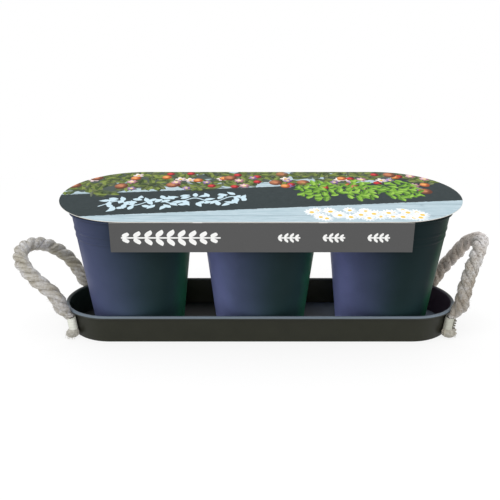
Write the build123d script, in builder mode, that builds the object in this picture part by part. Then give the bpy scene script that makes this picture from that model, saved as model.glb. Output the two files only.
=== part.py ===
from build123d import *
import math
import os

# Indoor herb planter: three tapered sheet-metal pots in a long tray with rope handles, under a
# printed card with two folded flaps. Millimetres, +Z up. The origin is under the middle of the
# tray, +X runs along it and -Y is the front.

os.makedirs("parts", exist_ok=True)

# Pots: tapered sheet-metal cones with a rolled rim, two ribs and a raised base
pot_gap = 2.5
pot_height = 112.0
pot_rim_diameter = 111.0
pot_foot_diameter = 81.6
pot_sheet = 0.5
pot_rim_bead = 2.4
pot_base_raise = 3.0
upper_rib_drop = 15.1
rib_spacing = 6.5
rib_width = 3.2
rib_height = 0.45
drain_hole_diameter = 6.0
drain_circle_diameter = 36.0
drain_hole_count = 4

# Tray: a long pan with round ends, drawn up round the feet of the pots
tray_end_margin = 12.0
tray_height = 26.6
tray_sheet = 0.7
tray_rim_bead = 3.4
tray_flare = 5.5
tray_lip_width = 4.0
tray_corner_radius = 1.2
tray_pot_clearance = 0.85

# Growing kit inside each pot: a pressed coir disc with a seed sachet lying on it
coir_margin = 3.3
coir_thickness = 16.0
coir_edge_bevel = 1.0
sachet_width = 48.0
sachet_paper = 0.5
sachet_crown = 3.0
sachet_seam = 5.0
sachet_corner_clearance = 3.0

# Card over the pots, with a flap folded down in front and one that props up the back
card_sheet = 0.6
card_margin = 7.5
card_end_length = 66.0
card_rise = 20.3
card_back_overhang = 0.2
flap_height = 24.5
flap_overhang = 8.6
fold_gap = 0.3
seat_gap = 0.3

# Rope handles: one rope each end, held in two crimped sleeves riveted to the tray wall
rope_diameter = 12.8
sleeve_bore = 6.8
sleeve_sheet = 0.5
sleeve_foot_height = 8.5
sleeve_top_height = 20.0
sleeve_angle = 43.0
leg_angle = 38.0
leg_middle_height = 25.6
leg_middle_diameter = 9.0
leg_middle_rim_gap = 1.2
leg_end_diameter = 11.2
pivot_height = 35.0
pivot_rim_gap = 2.0
joint_gap = 0.3
tail_diameter = 11.0
tail_foot_height = 0.6
tail_foot_diameter = 7.0
tail_middle_height = 4.4
tail_offset = 1.95
rivet_height = 14.0
rivet_diameter = 2.4
rivet_head_diameter = 5.0
rivet_head_height = 1.0
left_swing_out = 46.0
right_swing_out = 64.0

cut_overrun = 1.0

# Places that follow from the sizes above
pot_pitch = pot_rim_diameter + pot_gap
tray_length = 2 * pot_pitch + pot_rim_diameter + 2 * tray_end_margin
floor_top = 2 * tray_sheet
rim_top = floor_top + pot_height
pot_rim_centre = pot_height - pot_rim_bead / 2
pot_wall_lean = (
    pot_rim_diameter / 2 - pot_rim_bead + pot_sheet / 2 - (pot_foot_diameter / 2 - pot_sheet / 2)
) / pot_rim_centre
pot_places = {"left": -pot_pitch, "middle": 0.0, "right": pot_pitch}

tray_lean = math.tan(math.radians(tray_flare))
tray_rim_centre = tray_height - tray_rim_bead / 2
tray_wall_across = tray_sheet / math.cos(math.radians(tray_flare))


def pot_wall_middle(height):
    """Radius of the middle of a pot's wall, at a height above the pot's foot."""
    return pot_foot_diameter / 2 - pot_sheet / 2 + height * pot_wall_lean


def tray_inside(height):
    """Radius of the tray wall's inner face round an end, at a height above the table."""
    return pot_foot_diameter / 2 + tray_pot_clearance + (height - floor_top) * tray_lean


def tray_outside(height):
    """Radius of the tray wall's outer face round an end, at a height above the table."""
    return tray_inside(height) + tray_wall_across


tray_rim_radius = tray_inside(tray_rim_centre) + tray_rim_bead
end_centre = tray_length / 2 - tray_rim_radius


def save(part, name):
    """Labels a finished piece and writes it as its own STEP file."""
    part.label = name
    export_step(part, f"parts/{name}.step")


# Tray wall: an outward-leaning band with a lip turned in under the floor and a rolled rim
def tray_wall_section(centre):
    """The wall's section in the plane across the tray at an end's centre, on the back side."""
    lip_edge = tray_inside(tray_sheet) - tray_lip_width
    with BuildSketch(Plane(origin=centre, x_dir=(0, 1, 0), z_dir=(1, 0, 0))) as section:
        with BuildLine():
            Polyline(
                (lip_edge, 0),
                (tray_outside(0), 0),
                (tray_outside(tray_rim_centre), tray_rim_centre),
                (tray_inside(tray_rim_centre), tray_rim_centre),
                (tray_inside(tray_sheet), tray_sheet),
                (lip_edge, tray_sheet),
                close=True,
            )
        face = make_face()
        outer_corner = face.vertices().group_by(Axis.Y)[0].sort_by(Axis.X)[-1]
        fillet(outer_corner, tray_corner_radius)
        with Locations((tray_rim_radius - tray_rim_bead / 2, tray_rim_centre)):
            Circle(tray_rim_bead / 2)
    return section.sketch


def wall_plane(side, end, around, height, angle, outward):
    """A plane on a leg of the rope handles: round an end by an angle, at a distance outward
    from that end's centre, its normal leaning outward by the other angle."""
    turn = math.radians(around)
    lean = math.radians(angle)
    away = Vector(side * math.cos(turn), end * math.sin(turn), 0)
    middle = Vector(side * end_centre, 0, height) + away * outward
    normal = away * math.sin(lean) + Vector(0, 0, math.cos(lean))
    return Plane(origin=middle, x_dir=away.cross(normal), z_dir=normal)


def rivet_plane(side, end):
    """A plane on the tray wall's inner face at a rivet, its normal pointing outward."""
    return wall_plane(
        side, end, sleeve_angle, rivet_height, 90 + tray_flare, tray_inside(rivet_height)
    )


leg_places = {
    "left_front": (-1, -1),
    "left_back": (-1, 1),
    "right_front": (1, -1),
    "right_back": (1, 1),
}

with BuildPart() as tray_wall:
    extrude(tray_wall_section((0, 0, 0)), amount=end_centre)
    mirror(about=Plane.XZ)
    revolve(
        tray_wall_section((end_centre, 0, 0)),
        axis=Axis((end_centre, 0, 0), (0, 0, -1)),
        revolution_arc=180,
    )
    mirror(about=Plane.YZ)
    for side, end in leg_places.values():
        with BuildSketch(rivet_plane(side, end).offset(-cut_overrun)):
            Circle(rivet_diameter / 2)
        extrude(amount=tray_sheet + 2 * cut_overrun, mode=Mode.SUBTRACT)
save(tray_wall.part, "tray_wall")

# Tray floor: a flat plate that lies on the lip inside the wall
with BuildPart() as tray_floor:
    with BuildSketch(Plane.XY.offset(tray_sheet)):
        SlotCenterToCenter(2 * end_centre, 2 * tray_inside(tray_sheet))
    extrude(amount=tray_sheet)
save(tray_floor.part, "tray_floor")


# Pots
def pot_wall_side(offset):
    """One face of a pot's wall, drawn up from the foot over the ribs to the rim's centre."""
    def at(height, out=0.0):
        return (pot_wall_middle(height) + offset + out, floor_top + height)

    start = at(0)
    for rib in range(2):
        middle = pot_height - upper_rib_drop - (1 - rib) * rib_spacing
        low = at(middle - rib_width / 2)
        high = at(middle + rib_width / 2)
        Line(start, low)
        ThreePointArc(low, at(middle, rib_height), high)
        start = high
    Line(start, at(pot_rim_centre))
    return at(0), at(pot_rim_centre)


for name, x in pot_places.items():
    with BuildPart() as pot_wall:
        with BuildSketch(Plane(origin=(x, 0, 0), x_dir=(1, 0, 0), z_dir=(0, -1, 0))):
            with BuildLine():
                outer_foot, outer_top = pot_wall_side(pot_sheet / 2)
                inner_foot, inner_top = pot_wall_side(-pot_sheet / 2)
                Line(outer_foot, inner_foot)
                Line(outer_top, inner_top)
            make_face()
            with Locations((pot_rim_diameter / 2 - pot_rim_bead / 2, floor_top + pot_rim_centre)):
                Circle(pot_rim_bead / 2)
        revolve(axis=Axis((x, 0, 0), (0, 0, 1)))
    save(pot_wall.part, f"pot_{name}_wall")

    inner_at_foot = pot_wall_middle(0) - pot_sheet / 2
    inner_at_base = pot_wall_middle(pot_base_raise) - pot_sheet / 2
    base_top = floor_top + pot_base_raise
    with BuildPart() as pot_base:
        with BuildSketch(Plane(origin=(x, 0, 0), x_dir=(1, 0, 0), z_dir=(0, -1, 0))):
            with BuildLine():
                Polyline(
                    (0, base_top - pot_sheet),
                    (inner_at_base - pot_sheet, base_top - pot_sheet),
                    (inner_at_foot - pot_sheet, floor_top),
                    (inner_at_foot, floor_top),
                    (inner_at_base, base_top),
                    (0, base_top),
                    close=True,
                )
            make_face()
        revolve(axis=Axis((x, 0, 0), (0, 0, 1)))
        with Locations((x, 0, base_top)):
            with PolarLocations(drain_circle_diameter / 2, drain_hole_count):
                Hole(drain_hole_diameter / 2)
    save(pot_base.part, f"pot_{name}_base")

    # Pressed coir disc, lying on the pot's base
    with BuildPart() as coir_disc:
        with BuildSketch(Plane(origin=(x, 0, base_top))):
            Circle(pot_foot_diameter / 2 - coir_margin)
        extrude(amount=coir_thickness)
        chamfer(coir_disc.edges().filter_by(GeomType.CIRCLE), coir_edge_bevel)
    save(coir_disc.part, f"coir_disc_{name}")

    # Seed sachet, flat on the disc: crimped seams round a low crown
    coir_top = base_top + coir_thickness
    sachet_reach = (
        pot_wall_middle(pot_base_raise + coir_thickness) - pot_sheet / 2 - sachet_corner_clearance
    )
    sachet_length = 2 * math.sqrt(sachet_reach**2 - (sachet_width / 2) ** 2)
    with BuildPart() as seed_sachet:
        with BuildSketch(Plane(origin=(x, 0, coir_top))):
            Rectangle(sachet_width, sachet_length)
        extrude(amount=sachet_paper)
        with BuildSketch(Plane(origin=(x, 0, coir_top + sachet_paper))):
            Rectangle(sachet_width - 2 * sachet_seam, sachet_length - 2 * sachet_seam)
        extrude(amount=sachet_crown - sachet_paper, taper=60)
    save(seed_sachet.part, f"seed_sachet_{name}")

# Card: it rests on the front of the rims and slopes up to the back
pot_rim_radius = pot_rim_diameter / 2
front_fold = -(pot_rim_radius + seat_gap + card_sheet / 2)
rear_fold = pot_rim_radius - pot_rim_bead / 2
card_depth = rear_fold + card_back_overhang - front_fold
card_slope = math.atan(card_rise / card_depth)
front_crest = -(pot_rim_radius - pot_rim_bead / 2)
card_front_height = (
    rim_top
    - pot_rim_bead / 2
    + (pot_rim_bead / 2 + seat_gap) / math.cos(card_slope)
    - (front_crest - front_fold) * math.tan(card_slope)
)
rear_fold_height = card_front_height + (rear_fold - front_fold) * math.tan(card_slope)
card_length = 2 * (pot_pitch + pot_rim_radius + card_margin)
flap_length = 2 * (pot_pitch + flap_overhang)
rear_flap_height = rear_fold_height - 2 * fold_gap - rim_top - seat_gap + fold_gap

with BuildPart() as card_top:
    slope_length = card_depth / math.cos(card_slope)
    slope_up = (0, math.cos(card_slope), math.sin(card_slope))
    slope_normal = (0, -math.sin(card_slope), math.cos(card_slope))
    middle = Vector(0, front_fold, card_front_height) + Vector(slope_up) * (slope_length / 2)
    with BuildSketch(Plane(origin=middle, x_dir=(1, 0, 0), z_dir=slope_normal)):
        Rectangle(card_length - 2 * card_end_length, slope_length)
        with Locations(
            (-card_length / 2 + card_end_length, 0), (card_length / 2 - card_end_length, 0)
        ):
            Ellipse(card_end_length, slope_length / 2)
    extrude(amount=card_sheet)
save(card_top.part, "card_top")

with BuildPart() as card_front_flap:
    with BuildSketch(Plane(origin=(0, front_fold - card_sheet / 2, 0), x_dir=(1, 0, 0), z_dir=(0, -1, 0))):
        with Locations((0, card_front_height - fold_gap)):
            Rectangle(flap_length, flap_height, align=(Align.CENTER, Align.MAX))
    extrude(amount=-card_sheet)
save(card_front_flap.part, "card_front_flap")

with BuildPart() as card_rear_flap:
    with BuildSketch(Plane(origin=(0, rear_fold - card_sheet / 2, 0), x_dir=(1, 0, 0), z_dir=(0, -1, 0))):
        with Locations((0, rim_top + seat_gap)):
            Rectangle(flap_length, rear_flap_height, align=(Align.CENTER, Align.MIN))
    extrude(amount=-card_sheet)
save(card_rear_flap.part, "card_rear_flap")

# Rope handles. Each route is listed from the front pivot to the back one, as distances from the
# pivots' common axis: outward along X, then along Y, then up.
pivot_outward = tray_rim_radius + rope_diameter / 2 + pivot_rim_gap
pivot_x = end_centre + pivot_outward * math.cos(math.radians(leg_angle))
pivot_y = pivot_outward * math.sin(math.radians(leg_angle))
left_route = [
    (2.5, -35.0, 7.5),
    (21.5, -30.0, 20.5),
    (35.0, -21.0, 33.0),
    (41.0, -3.0, 39.0),
    (35.5, 15.5, 39.5),
    (24.5, 30.0, 31.0),
    (12.0, 38.0, 17.5),
    (5.0, 37.5, 6.0),
]
right_route = [
    (-0.5, -34.5, 6.5),
    (6.0, -26.0, 22.0),
    (16.0, -15.0, 38.5),
    (26.0, 2.5, 48.5),
    (18.5, 17.5, 40.5),
    (12.5, 29.0, 21.5),
    (5.0, 36.0, 7.0),
]


def handle_points(side, route):
    """The rope's points from pivot to pivot, in the planter's own frame."""
    pivots = [(0, -pivot_y, 0), (0, pivot_y, 0)]
    places = [pivots[0], *route, pivots[1]]
    return [Vector(side * (pivot_x + out), y, pivot_height + up) for out, y, up in places]


def corner_radii(points):
    """The largest tangent arc that the two runs beside each corner allow."""
    radii = []
    for before, corner, after in zip(points, points[1:], points[2:]):
        arriving = corner - before
        leaving = after - corner
        half_turn = math.radians(arriving.get_angle(leaving)) / 2
        radii.append(0.45 * min(arriving.length, leaving.length) / math.tan(half_turn))
    return radii


def swung_out(side, direction, angle):
    """A direction turned outward about the pivots' axis."""
    return direction.rotate(Axis.Y, side * angle)


for name, side, route, swing_out in (
    ("left", -1, left_route, left_swing_out),
    ("right", 1, right_route, right_swing_out),
):
    points = handle_points(side, route)
    radii = corner_radii(points)
    with BuildPart() as rope_loop:
        with BuildLine() as rope_path:
            FilletPolyline(*points, radius=radii)
        first_run = points[1] - points[0]
        with BuildSketch(Plane(origin=points[0], z_dir=first_run)):
            Circle(rope_diameter / 2)
        sweep(path=rope_path.wires()[0])
        with Locations(points[0], points[-1]):
            Sphere(rope_diameter / 2)
    save(rope_loop.part, f"rope_{name}_loop")
    length = rope_path.wires()[0].length
    swept = math.pi * (rope_diameter / 2) ** 2 * length
    balls = 4 / 3 * math.pi * (rope_diameter / 2) ** 3
    print(
        f"{name} loop: {length:.1f} mm between pivots, radii",
        [round(radius, 1) for radius in radii],
        f"volume {rope_loop.part.volume:.0f} of about {swept + balls:.0f}",
    )

    for place, end, run in (
        ("front", -1, points[1] - points[0]),
        ("back", 1, points[-2] - points[-1]),
    ):
        sleeve_radius = sleeve_bore / 2 + sleeve_sheet
        axis_out = tray_outside(0) + sleeve_radius / math.cos(math.radians(tray_flare))
        sleeve_out = axis_out + sleeve_foot_height * tray_lean
        sleeve_plane = wall_plane(side, end, sleeve_angle, sleeve_foot_height, tray_flare, sleeve_out)
        sleeve_length = (sleeve_top_height - sleeve_foot_height) / math.cos(math.radians(tray_flare))
        with BuildPart() as sleeve:
            with BuildSketch(sleeve_plane):
                Circle(sleeve_radius)
                Circle(sleeve_bore / 2, mode=Mode.SUBTRACT)
            extrude(amount=sleeve_length)
            with BuildSketch(rivet_plane(side, end)):
                Circle(rivet_diameter / 2)
            extrude(amount=tray_sheet + sleeve_radius, mode=Mode.SUBTRACT)
        save(sleeve.part, f"rope_sleeve_{name}_{place}")

        # The rope's end: a frayed tail, the neck in the sleeve, and the leg up to the pivot
        leg_middle = tray_rim_radius + leg_middle_rim_gap + leg_middle_diameter / 2
        rise = pivot_height - leg_middle_height
        leg_lean = math.degrees(math.atan((pivot_outward - leg_middle) / rise))
        leg_middle_angle = (sleeve_angle + leg_angle) / 2
        tail_out = axis_out + tail_middle_height * tray_lean + tail_offset
        with BuildPart() as rope_end:
            with BuildSketch(wall_plane(side, end, sleeve_angle, tail_foot_height, 0, tail_out)):
                Circle(tail_foot_diameter / 2)
            with BuildSketch(wall_plane(side, end, sleeve_angle, tail_middle_height, 0, tail_out)):
                Circle(tail_diameter / 2)
            with BuildSketch(sleeve_plane.offset(-cut_overrun)):
                Circle(sleeve_bore / 2)
            loft()
            with BuildSketch(sleeve_plane.offset(-cut_overrun)):
                Circle(sleeve_bore / 2)
            extrude(amount=sleeve_length + cut_overrun)
            with BuildSketch(sleeve_plane.offset(sleeve_length)):
                Circle(sleeve_bore / 2)
            with BuildSketch(
                wall_plane(side, end, leg_middle_angle, leg_middle_height, leg_lean, leg_middle)
            ):
                Circle(leg_middle_diameter / 2)
            with BuildSketch(wall_plane(side, end, leg_angle, pivot_height, leg_lean, pivot_outward)):
                Circle(leg_end_diameter / 2)
            loft()
            pivot = Vector(side * pivot_x, end * pivot_y, pivot_height)
            with Locations(pivot):
                Sphere(rope_diameter / 2 + joint_gap, mode=Mode.SUBTRACT)
            with BuildSketch(Plane(origin=pivot, z_dir=swung_out(side, run, swing_out))):
                Circle(rope_diameter / 2 + joint_gap)
            extrude(amount=rope_diameter, mode=Mode.SUBTRACT)
        save(rope_end.part, f"rope_{name}_{place}_end")

# Rivets: one through the tray wall into each sleeve, with a low flat head inside the tray that
# bears on the curved wall with two of its sides
rivet_seat = tray_inside(rivet_height) - math.sqrt(
    tray_inside(rivet_height) ** 2 - (rivet_head_diameter / 2) ** 2
)
with BuildPart() as sleeve_rivets:
    for side, end in leg_places.values():
        with BuildSketch(rivet_plane(side, end).offset(-rivet_seat)):
            Circle(rivet_diameter / 2)
        extrude(amount=rivet_seat + tray_sheet + sleeve_sheet)
        with BuildSketch(rivet_plane(side, end).offset(-rivet_seat)):
            Circle(rivet_head_diameter / 2)
        extrude(amount=-rivet_head_height, taper=20)
save(sleeve_rivets.part, "sleeve_rivets")
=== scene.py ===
# %% [markdown]
# # An indoor herb planter
# Three tapered sheet-metal pots stand in a long tray with rope handles, and a printed card with
# folded flaps lies over their rims. The measured model gives every rigid piece its shape. This
# script gives the pieces their finishes, twists the ropes, frays their ends, prints the card and
# lights the whole set, one piece at a time.

# %% Load the measured model
import math
import random

import bpy
import numpy as np
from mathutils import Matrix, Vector, noise


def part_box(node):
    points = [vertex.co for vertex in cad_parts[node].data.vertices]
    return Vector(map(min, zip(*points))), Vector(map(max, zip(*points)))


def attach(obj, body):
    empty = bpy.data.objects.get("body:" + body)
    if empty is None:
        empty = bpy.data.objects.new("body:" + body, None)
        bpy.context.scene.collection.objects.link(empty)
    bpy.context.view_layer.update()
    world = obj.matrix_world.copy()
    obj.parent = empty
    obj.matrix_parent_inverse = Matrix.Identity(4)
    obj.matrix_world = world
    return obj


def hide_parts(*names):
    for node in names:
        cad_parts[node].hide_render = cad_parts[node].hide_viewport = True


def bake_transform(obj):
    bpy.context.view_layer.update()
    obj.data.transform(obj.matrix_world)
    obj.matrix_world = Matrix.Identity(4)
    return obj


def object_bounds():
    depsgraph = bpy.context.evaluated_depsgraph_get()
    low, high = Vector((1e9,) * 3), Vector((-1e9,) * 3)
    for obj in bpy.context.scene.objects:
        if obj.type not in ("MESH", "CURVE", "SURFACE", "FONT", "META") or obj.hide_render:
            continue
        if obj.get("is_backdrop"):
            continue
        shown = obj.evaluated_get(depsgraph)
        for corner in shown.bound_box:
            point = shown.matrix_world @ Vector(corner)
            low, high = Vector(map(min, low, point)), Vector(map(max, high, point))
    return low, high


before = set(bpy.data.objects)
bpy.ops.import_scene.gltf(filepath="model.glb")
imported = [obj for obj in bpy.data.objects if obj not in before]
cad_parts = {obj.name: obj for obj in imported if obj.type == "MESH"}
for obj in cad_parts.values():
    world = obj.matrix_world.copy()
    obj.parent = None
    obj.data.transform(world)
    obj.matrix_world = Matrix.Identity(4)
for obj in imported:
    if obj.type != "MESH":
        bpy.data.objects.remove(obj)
cad_box = [list(corner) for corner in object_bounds()]
mm = 0.001
print(len(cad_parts), "nodes, box from", cad_box[0], "to", cad_box[1])

# %% [markdown]
# ## The camera
# A product photograph like this one is taken from a little above, with a moderate lens. The
# camera stands in front of the planter and looks down by about 18 degrees. Its place was worked
# out from the rims: the wider an ellipse looks for its width, the more the camera looks down.

# %% Place the camera
camera_place = Vector((-9.4, -473.4, 228.4)) * mm
camera_tilt = math.radians(71.71)
camera_lens = 39.09
camera_sensor = 36

scene = bpy.context.scene
scene.view_settings.view_transform = "Standard"
camera_data = bpy.data.cameras.new("camera")
camera_data.sensor_width = camera_sensor
camera_data.lens = camera_lens
camera = bpy.data.objects.new("camera", camera_data)
camera.location = camera_place
camera.rotation_euler = (camera_tilt, 0, 0)
scene.collection.objects.link(camera)
scene.camera = camera
print("camera at", [round(value, 3) for value in camera.location])

# %% [markdown]
# ## Sums and colours inside a finish
# Every finish here is a graph of shader nodes, and most of its nodes are plain sums. Written out
# one by one they hide what the finish does. So an amount that the shader works out gets a small
# wrapper that adds and multiplies like an ordinary number, and lays down the right node each time.

# %% Let amounts add and multiply
class Amount:
    """A number that the shader works out anew at each point of a surface."""

    def __init__(self, socket):
        self.socket = socket
        self.tree = socket.id_data

    def __add__(self, other):
        return calculate("ADD", self, other)

    def __sub__(self, other):
        return calculate("SUBTRACT", self, other)

    def __rsub__(self, other):
        return calculate("SUBTRACT", other, self)

    def __mul__(self, other):
        return calculate("MULTIPLY", self, other)

    def __truediv__(self, other):
        return calculate("DIVIDE", self, other)

    def __abs__(self):
        return calculate("ABSOLUTE", self)

    __radd__ = __add__
    __rmul__ = __mul__


def feed(value, socket):
    """Writes a plain value on a socket, or links an amount or another node's output to it."""
    if isinstance(value, Amount):
        value = value.socket
    if isinstance(value, bpy.types.NodeSocket):
        socket.id_data.links.new(value, socket)
    else:
        socket.default_value = value


def add_node(tree, kind, inputs=None, **settings):
    """Adds a node with its settings and feeds its inputs."""
    node = tree.nodes.new(kind)
    for name, value in settings.items():
        setattr(node, name, value)
    for key, value in (inputs or {}).items():
        feed(value, node.inputs[key])
    return node


def calculate(operation, *values, clamp=False):
    """Works one sum with amounts and plain numbers."""
    tree = next(value.tree for value in values if isinstance(value, Amount))
    node = add_node(tree, "ShaderNodeMath", dict(enumerate(values)), operation=operation)
    node.use_clamp = clamp
    return Amount(node.outputs[0])


# %% Mix colours and read places
def paint(red, green, blue):
    """A colour as a paint chart gives it, 0 to 255, turned into the shader's light values."""
    light = []
    for part in (red, green, blue):
        share = part / 255
        light.append(share / 12.92 if share <= 0.04045 else ((share + 0.055) / 1.055) ** 2.4)
    return (*light, 1.0)


def ramp(amount, low, high, low_result=0.0, high_result=1.0):
    """Turns an amount smoothly from one result to another as it goes from low to high."""
    limits = {"From Min": low, "From Max": high, "To Min": low_result, "To Max": high_result}
    node = add_node(
        amount.tree, "ShaderNodeMapRange", {"Value": amount, **limits}, interpolation_type="SMOOTHSTEP"
    )
    return Amount(node.outputs[0])


def mix_colours(share, below, above):
    """Lays one colour over another by an amount from 0 to 1."""
    inputs = {0: share, 6: below, 7: above}
    return add_node(share.tree, "ShaderNodeMix", inputs, data_type="RGBA").outputs[2]


def lay_tints(colour, *tints):
    """Lays tints over a colour one after another, each by its own amount."""
    for share, tint in tints:
        colour = mix_colours(share, colour, paint(*tint))
    return colour


def clouds(place, scale, detail=3.0, roughness=0.5):
    """A cloudy pattern from 0 to 1. Its scale counts the clouds in one unit of the place."""
    inputs = {"Vector": place, "Scale": scale, "Detail": detail, "Roughness": roughness}
    return Amount(add_node(place.id_data, "ShaderNodeTexNoise", inputs).outputs[0])


def split(vector):
    """The three numbers of a place, a direction or a map."""
    return [Amount(part) for part in add_node(vector.id_data, "ShaderNodeSeparateXYZ", {0: vector}).outputs]


def object_place(tree):
    """The place on a piece, in its own metres, and that place's three numbers."""
    place = add_node(tree, "ShaderNodeTexCoord").outputs["Object"]
    return (place, *split(place))


print("a paint of 128 gives a light of", round(paint(128, 128, 128)[0], 3))


# %% Start a finish and give it its surface
def start_material(name):
    """A new material with its tree and its one surface shader."""
    material = bpy.data.materials.new(name)
    material.use_nodes = True
    tree = material.node_tree
    return material, tree, tree.nodes["Principled BSDF"]


def give_surface(shader, colour, roughness, specular=0.5):
    """Gives the surface its colour, how rough it is and how strongly it reflects."""
    feed(colour, shader.inputs["Base Color"])
    feed(roughness, shader.inputs["Roughness"])
    feed(specular, shader.inputs["Specular IOR Level"])


def give_bump(shader, height, strength, distance):
    """Raises the surface by a height from 0 to 1, with a distance in metres."""
    inputs = {"Height": height, "Strength": strength, "Distance": distance}
    feed(add_node(height.tree, "ShaderNodeBump", inputs).outputs[0], shader.inputs["Normal"])


def report_finish(material):
    """Says how many nodes a finish has, and hands it on."""
    print("finish", material.name, "has", len(material.node_tree.nodes), "nodes")
    return material


# %% [markdown]
# ## Cotton for the ropes
# Undyed cotton is warm grey, paler where yarns stand up, with a brown painted shade in the hollows
# between the strands. It is never one colour: the nap holds dark flecks, and handling has dirtied
# the right rope in patches. Painted shade darkens both ropes lower down and the left rope's back arm
# near the pot, and painted light lifts the top and the back arm of the right rope. A rope's yarns run
# round each strand, so the finish has fine slanted lines. The strand's own map carries them: how far
# along it, and how far round.

# %% Choose the cotton's tints
# From the planter's middle to 100 mm on its right, where one end's looks give way to the other's.
right_half = (0.0, 0.1)


def between_heights(height, foot, full, top):
    """1 at one height, fading to 0 at a lower foot and at a higher top."""
    return ramp(height, foot, full) * ramp(height, top, full)


def cotton_colour(place, across, behind, height, around, yarns, fluff):
    """Warm grey, with tints for the yarns and the dirt, and painted light and shade on the ropes."""
    on_right = ramp(across, *right_half)
    patches = clouds(place, 75.0, detail=3.0, roughness=0.6)
    # Painted shade in the hollows between the strands.
    hollow = ramp(abs(around - 0.5), 0.4, 0.24) * ramp(patches, 0.35, 0.62, 1.0, 0.25)
    used = on_right * ramp(patches, 0.3, 0.6, 0.3, 0.0)
    # Painted highlight on the top of the right rope.
    painted_top_highlight = ramp(height, 62 * mm, 84 * mm, 0.0, 0.34) * on_right
    # Painted light on the back arm of the right rope.
    painted_back_arm_light = ramp(behind, -6 * mm, 8 * mm, 0.0, 0.34) * on_right
    flecks = ramp(clouds(place, 700.0, detail=2.0), 0.46, 0.36, 0.0, 0.62)
    flecks = flecks * ramp(across, *right_half, 0.35, 1.0)
    shaded = ramp(across, -0.1, -0.2, 0.0, 0.32) * ramp(behind, 16 * mm, 38 * mm)
    # Painted shade on both ropes lower down, more on the right.
    low = between_heights(height, 16 * mm, 30 * mm, 75 * mm) * ramp(across, *right_half, 0.3, 0.55)
    frayed = ramp(height, 12 * mm, 7 * mm, 0.0, 0.45)
    colour = mix_colours(ramp(patches, 0.32, 0.68), paint(166, 161, 148), paint(203, 203, 205))
    return lay_tints(
        colour,
        (ramp(fluff, 0.58, 0.4, 0.0, 0.5), (126, 116, 96)),
        (yarns * 0.12, (208, 206, 203)),
        (hollow * 0.6, (92, 84, 66)),
        (used, (138, 118, 106)),
        (painted_top_highlight, (226, 221, 221)),
        (painted_back_arm_light, (228, 212, 202)),
        (flecks, (88, 74, 64)),
        (shaded, (116, 114, 78)),
        (low, (122, 112, 98)),
        (frayed, (196, 192, 176)),
    )


# %% Mix the cotton finish
yarn_lines_along = 110.0
yarn_lines_round = 14.0


def cotton_material():
    material, tree, shader = start_material("undyed_cotton")
    along, around, _ = split(add_node(tree, "ShaderNodeUVMap", uv_map="strand").outputs[0])
    slant = along * yarn_lines_along + around * yarn_lines_round
    yarns = ramp(calculate("SINE", slant * (2 * math.pi)), -1.0, 1.0)
    place, across, behind, height = object_place(tree)
    fluff = clouds(place, 420.0, detail=5.0, roughness=0.7)
    colour = cotton_colour(place, across, behind, height, around, yarns, fluff)
    give_surface(shader, colour, roughness=0.95, specular=0.15)
    shader.inputs["Sheen Weight"].default_value = 0.2
    shader.inputs["Sheen Roughness"].default_value = 0.6
    give_bump(shader, yarns * 0.22 + fluff, 0.8, 0.5 * mm)
    return report_finish(material)


cotton = cotton_material()

# %% [markdown]
# ## Where the ropes run
# Each rope comes up out of a crimped sleeve on the tray's end, leans out over the rolled rim,
# turns over in a loose loop and goes down into the sleeve at the back. Its route is a short list
# of given points, and a smooth spline runs through that list. A spline of order 3 keeps the
# natural springy look of a stiff rope, which straight runs with rounded corners would not.

# %% Set out the two routes
handle_sides = (("left", -1), ("right", 1))
rope_ends = (("front", -1), ("back", 1))
end_centre = 133.69
# Each place on a leg: its angle round the tray's end, how far out and how high, in millimetres.
sleeve_angle = 43.0
sleeve_mouth = (sleeve_angle, 48.06, 20.0)
leg_middle = (40.5, 53.01, 25.6)
pivot = (38.0, 55.71, 35.0)
# Each point of a loop: out from the pivot, across the tray and up from the pivot.
left_route = [
    (2.5, -35.0, 7.5),
    (21.5, -30.0, 20.5),
    (35.0, -21.0, 33.0),
    (41.0, -3.0, 39.0),
    (35.5, 15.5, 39.5),
    (24.5, 30.0, 31.0),
    (12.0, 38.0, 17.5),
    (5.0, 37.5, 6.0),
]
right_route = [
    (-0.5, -34.5, 6.5),
    (6.0, -26.0, 22.0),
    (16.0, -15.0, 38.5),
    (26.0, 2.5, 48.5),
    (18.5, 17.5, 40.5),
    (12.5, 29.0, 21.5),
    (5.0, 36.0, 7.0),
]


def leg_place(side, end, spot):
    """A place on one leg of the ropes, in metres."""
    angle, outward, height = spot
    turn = math.radians(angle)
    across = side * (end_centre + outward * math.cos(turn))
    return Vector((across, end * outward * math.sin(turn), height)) * mm


def full_route(side, route):
    """The rope's points from the front sleeve to the back one, in metres."""
    front = [leg_place(side, -1, spot) for spot in (sleeve_mouth, leg_middle, pivot)]
    back = [leg_place(side, 1, spot) for spot in (pivot, leg_middle, sleeve_mouth)]
    pivot_x, _, pivot_height = leg_place(1, 1, pivot)
    loop = [
        Vector((side * (pivot_x + out * mm), y * mm, pivot_height + up * mm)) for out, y, up in route
    ]
    return front + loop + back


# %% Draw the smooth lines
def smooth_points(points):
    """Points along the smooth spline that a list of points controls."""
    curve = bpy.data.curves.new("guide", "CURVE")
    curve.dimensions = "3D"
    curve.resolution_u = 20
    spline = curve.splines.new("NURBS")
    spline.points.add(len(points) - 1)
    for control, point in zip(spline.points, points):
        control.co = (*point, 1.0)
    spline.order_u = 3
    spline.use_endpoint_u = True
    guide = bpy.data.objects.new("guide", curve)
    line = bpy.data.meshes.new_from_object(guide)
    smooth = np.array([vertex.co for vertex in line.vertices])
    bpy.data.objects.remove(guide)
    bpy.data.curves.remove(curve)
    bpy.data.meshes.remove(line)
    return smooth


def along_line(line):
    """The distance from the line's start to each of its points."""
    steps = np.linalg.norm(np.diff(line, axis=0), axis=1)
    return np.concatenate(([0.0], np.cumsum(steps)))


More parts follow.
